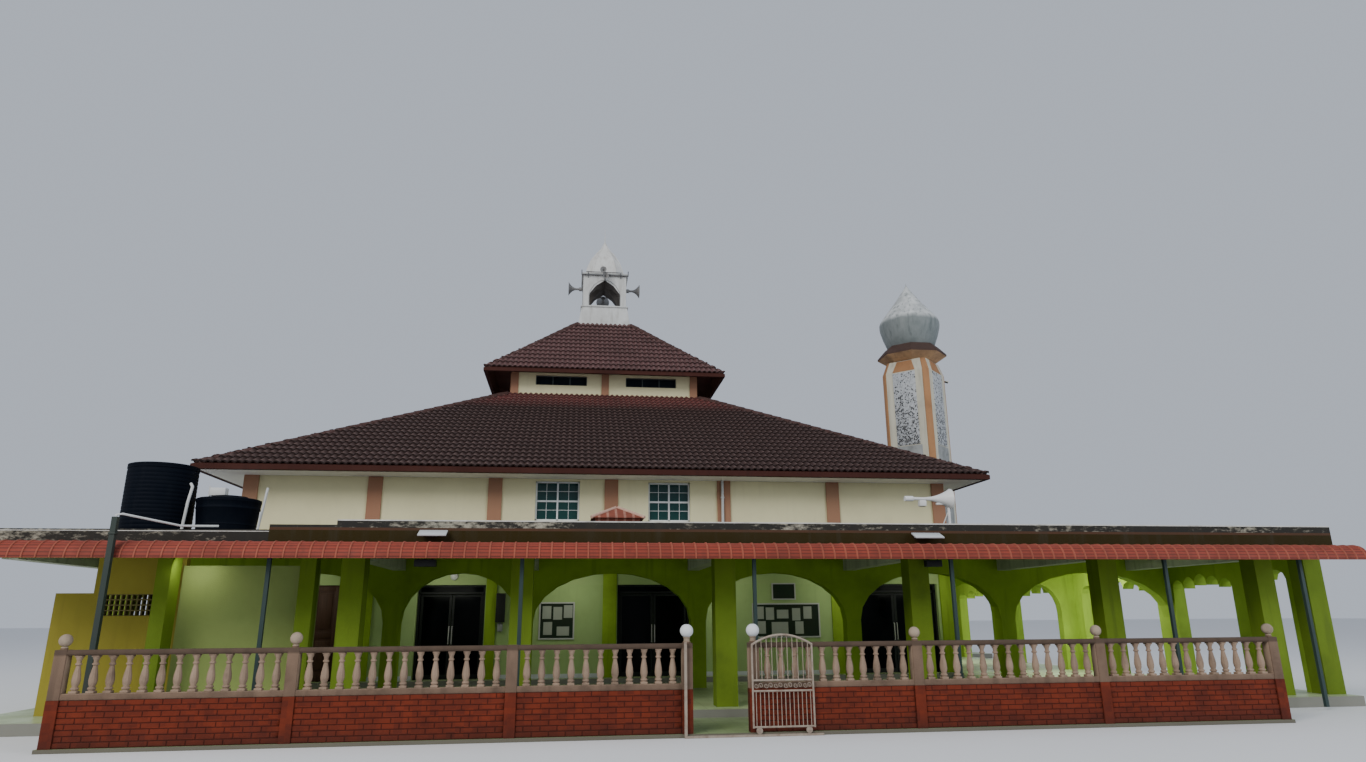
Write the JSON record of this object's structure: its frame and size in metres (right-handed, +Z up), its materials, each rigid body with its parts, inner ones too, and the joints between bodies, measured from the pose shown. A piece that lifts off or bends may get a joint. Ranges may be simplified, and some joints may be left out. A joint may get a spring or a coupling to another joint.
{
  "type": "mosque building",
  "caption": "Square hall with a two-tier hip roof and lantern, flat-roofed arcaded verandah, minaret with an onion dome, baluster fence and sliding gate.",
  "frame": {"origin": "centre of the square hall at ground level, on the underside of the floor slab", "axes": "+X to the right seen from the street, +Y from the street into the building, +Z up"},
  "size_m": [26.3, 26.96, 16.57],
  "materials": {
    "floor": "tiled, dusty",
    "apron": "tiled, dusty",
    "cream_wall": "matt masonry paint",
    "pale_green_wall": "matt masonry paint",
    "green_wall": "matt masonry paint",
    "yellow_wall": "matt masonry paint",
    "roof_tile": "weathered tile",
    "white_trim": "matt paint",
    "window_glass": "dark teal glass",
    "roof_concrete": "stained concrete",
    "horn_paint": "satin",
    "minaret_wall": "painted plaster with mosaic panels",
    "minaret_canopy": "matt",
    "minaret_dome": "weathered paint",
    "awning_sheet": "coated steel sheet",
    "awning_steel": "satin",
    "brick": "painted brick",
    "fence_concrete": "weathered concrete",
    "gate_steel": "worn paint",
    "track_steel": "worn paint",
    "door_frame": "dark anodised",
    "door_leaf": "dark tinted glass in a dark frame",
    "brown_door": "stained wood",
    "tank": "matt",
    "small_roof": "weathered tile"
  },
  "bodies": {
    "building": {"plinth": "floor", "apron": "apron", "hall_front_pier_1": "pale_green_wall", "hall_front_pier_2": "pale_green_wall", "hall_front_pier_3": "pale_green_wall", "hall_front_pier_4": "pale_green_wall", "hall_front_pier_5": "pale_green_wall", "hall_front_wall_upper": "cream_wall", "hall_side_and_back_walls": "cream_wall", "hall_window_glass": "window_glass", "lower_soffit": "white_trim", "lower_roof": "roof_tile", "tier_wall_front": "cream_wall", "tier_wall_back": "cream_wall", "tier_wall_left": "cream_wall", "tier_wall_right": "cream_wall", "tier_window_glass": "window_glass", "upper_roof": "roof_tile", "cupola_lantern": "white_trim", "cupola_dome": "white_trim", "cupola_horns": "horn_paint", "minaret_shaft": "minaret_wall", "minaret_canopy": "minaret_canopy", "minaret_dome": "minaret_dome", "front_colonnade": "green_wall", "inner_arcade": "green_wall", "right_arcade": "green_wall", "left_arcade": "green_wall", "right_porch_arcade": "green_wall", "wing_cross_arcade": "green_wall", "store_walls": "pale_green_wall", "yellow_wall": "yellow_wall", "verandah_roof": "roof_concrete", "small_hip_roof": "small_roof", "roof_horn": "horn_paint", "big_tank": "tank", "big_tank_lid": "tank", "small_tank": "tank", "small_tank_lid": "tank", "awning": "awning_sheet", "awning_frame": "awning_steel", "corner_post": "awning_steel", "fence_base_left": "brick", "fence_base_right": "brick", "fence_run_left": "fence_concrete", "fence_run_right": "fence_concrete", "gate_track": "track_steel", "door_frame_a": "door_frame", "door_frame_b": "door_frame", "door_frame_c": "door_frame", "brown_door": "brown_door"},
    "gate": {"gate_leaf": "gate_steel"},
    "door_a_left": {"door_a_left": "door_leaf"},
    "door_a_right": {"door_a_right": "door_leaf"},
    "door_b_left": {"door_b_left": "door_leaf"},
    "door_b_right": {"door_b_right": "door_leaf"},
    "door_c_left": {"door_c_left": "door_leaf"},
    "door_c_right": {"door_c_right": "door_leaf"}
  },
  "joints": [
    {"name": "gate_slide", "type": "slide", "parent": "building", "child": "gate", "axis": [-1, 0, 0], "range_m": [0, 0.93]},
    {"name": "door_a_left_hinge", "type": "hinge", "parent": "building", "child": "door_a_left", "pos_m": [-4.502, -8.55, 0.308], "axis": [0, 0, 1], "range_deg": [0, 90]},
    {"name": "door_a_right_hinge", "type": "hinge", "parent": "building", "child": "door_a_right", "pos_m": [-3.048, -8.55, 0.308], "axis": [0, 0, 1], "range_deg": [-90, 0]},
    {"name": "door_b_left_hinge", "type": "hinge", "parent": "building", "child": "door_b_left", "pos_m": [0.258, -8.55, 0.308], "axis": [0, 0, 1], "range_deg": [0, 90]},
    {"name": "door_b_right_hinge", "type": "hinge", "parent": "building", "child": "door_b_right", "pos_m": [1.912, -8.55, 0.308], "axis": [0, 0, 1], "range_deg": [-90, 0]},
    {"name": "door_c_left_hinge", "type": "hinge", "parent": "building", "child": "door_c_left", "pos_m": [6.258, -8.55, 0.308], "axis": [0, 0, 1], "range_deg": [0, 90]},
    {"name": "door_c_right_hinge", "type": "hinge", "parent": "building", "child": "door_c_right", "pos_m": [8.332, -8.55, 0.308], "axis": [0, 0, 1], "range_deg": [-90, 0]}
  ]
}
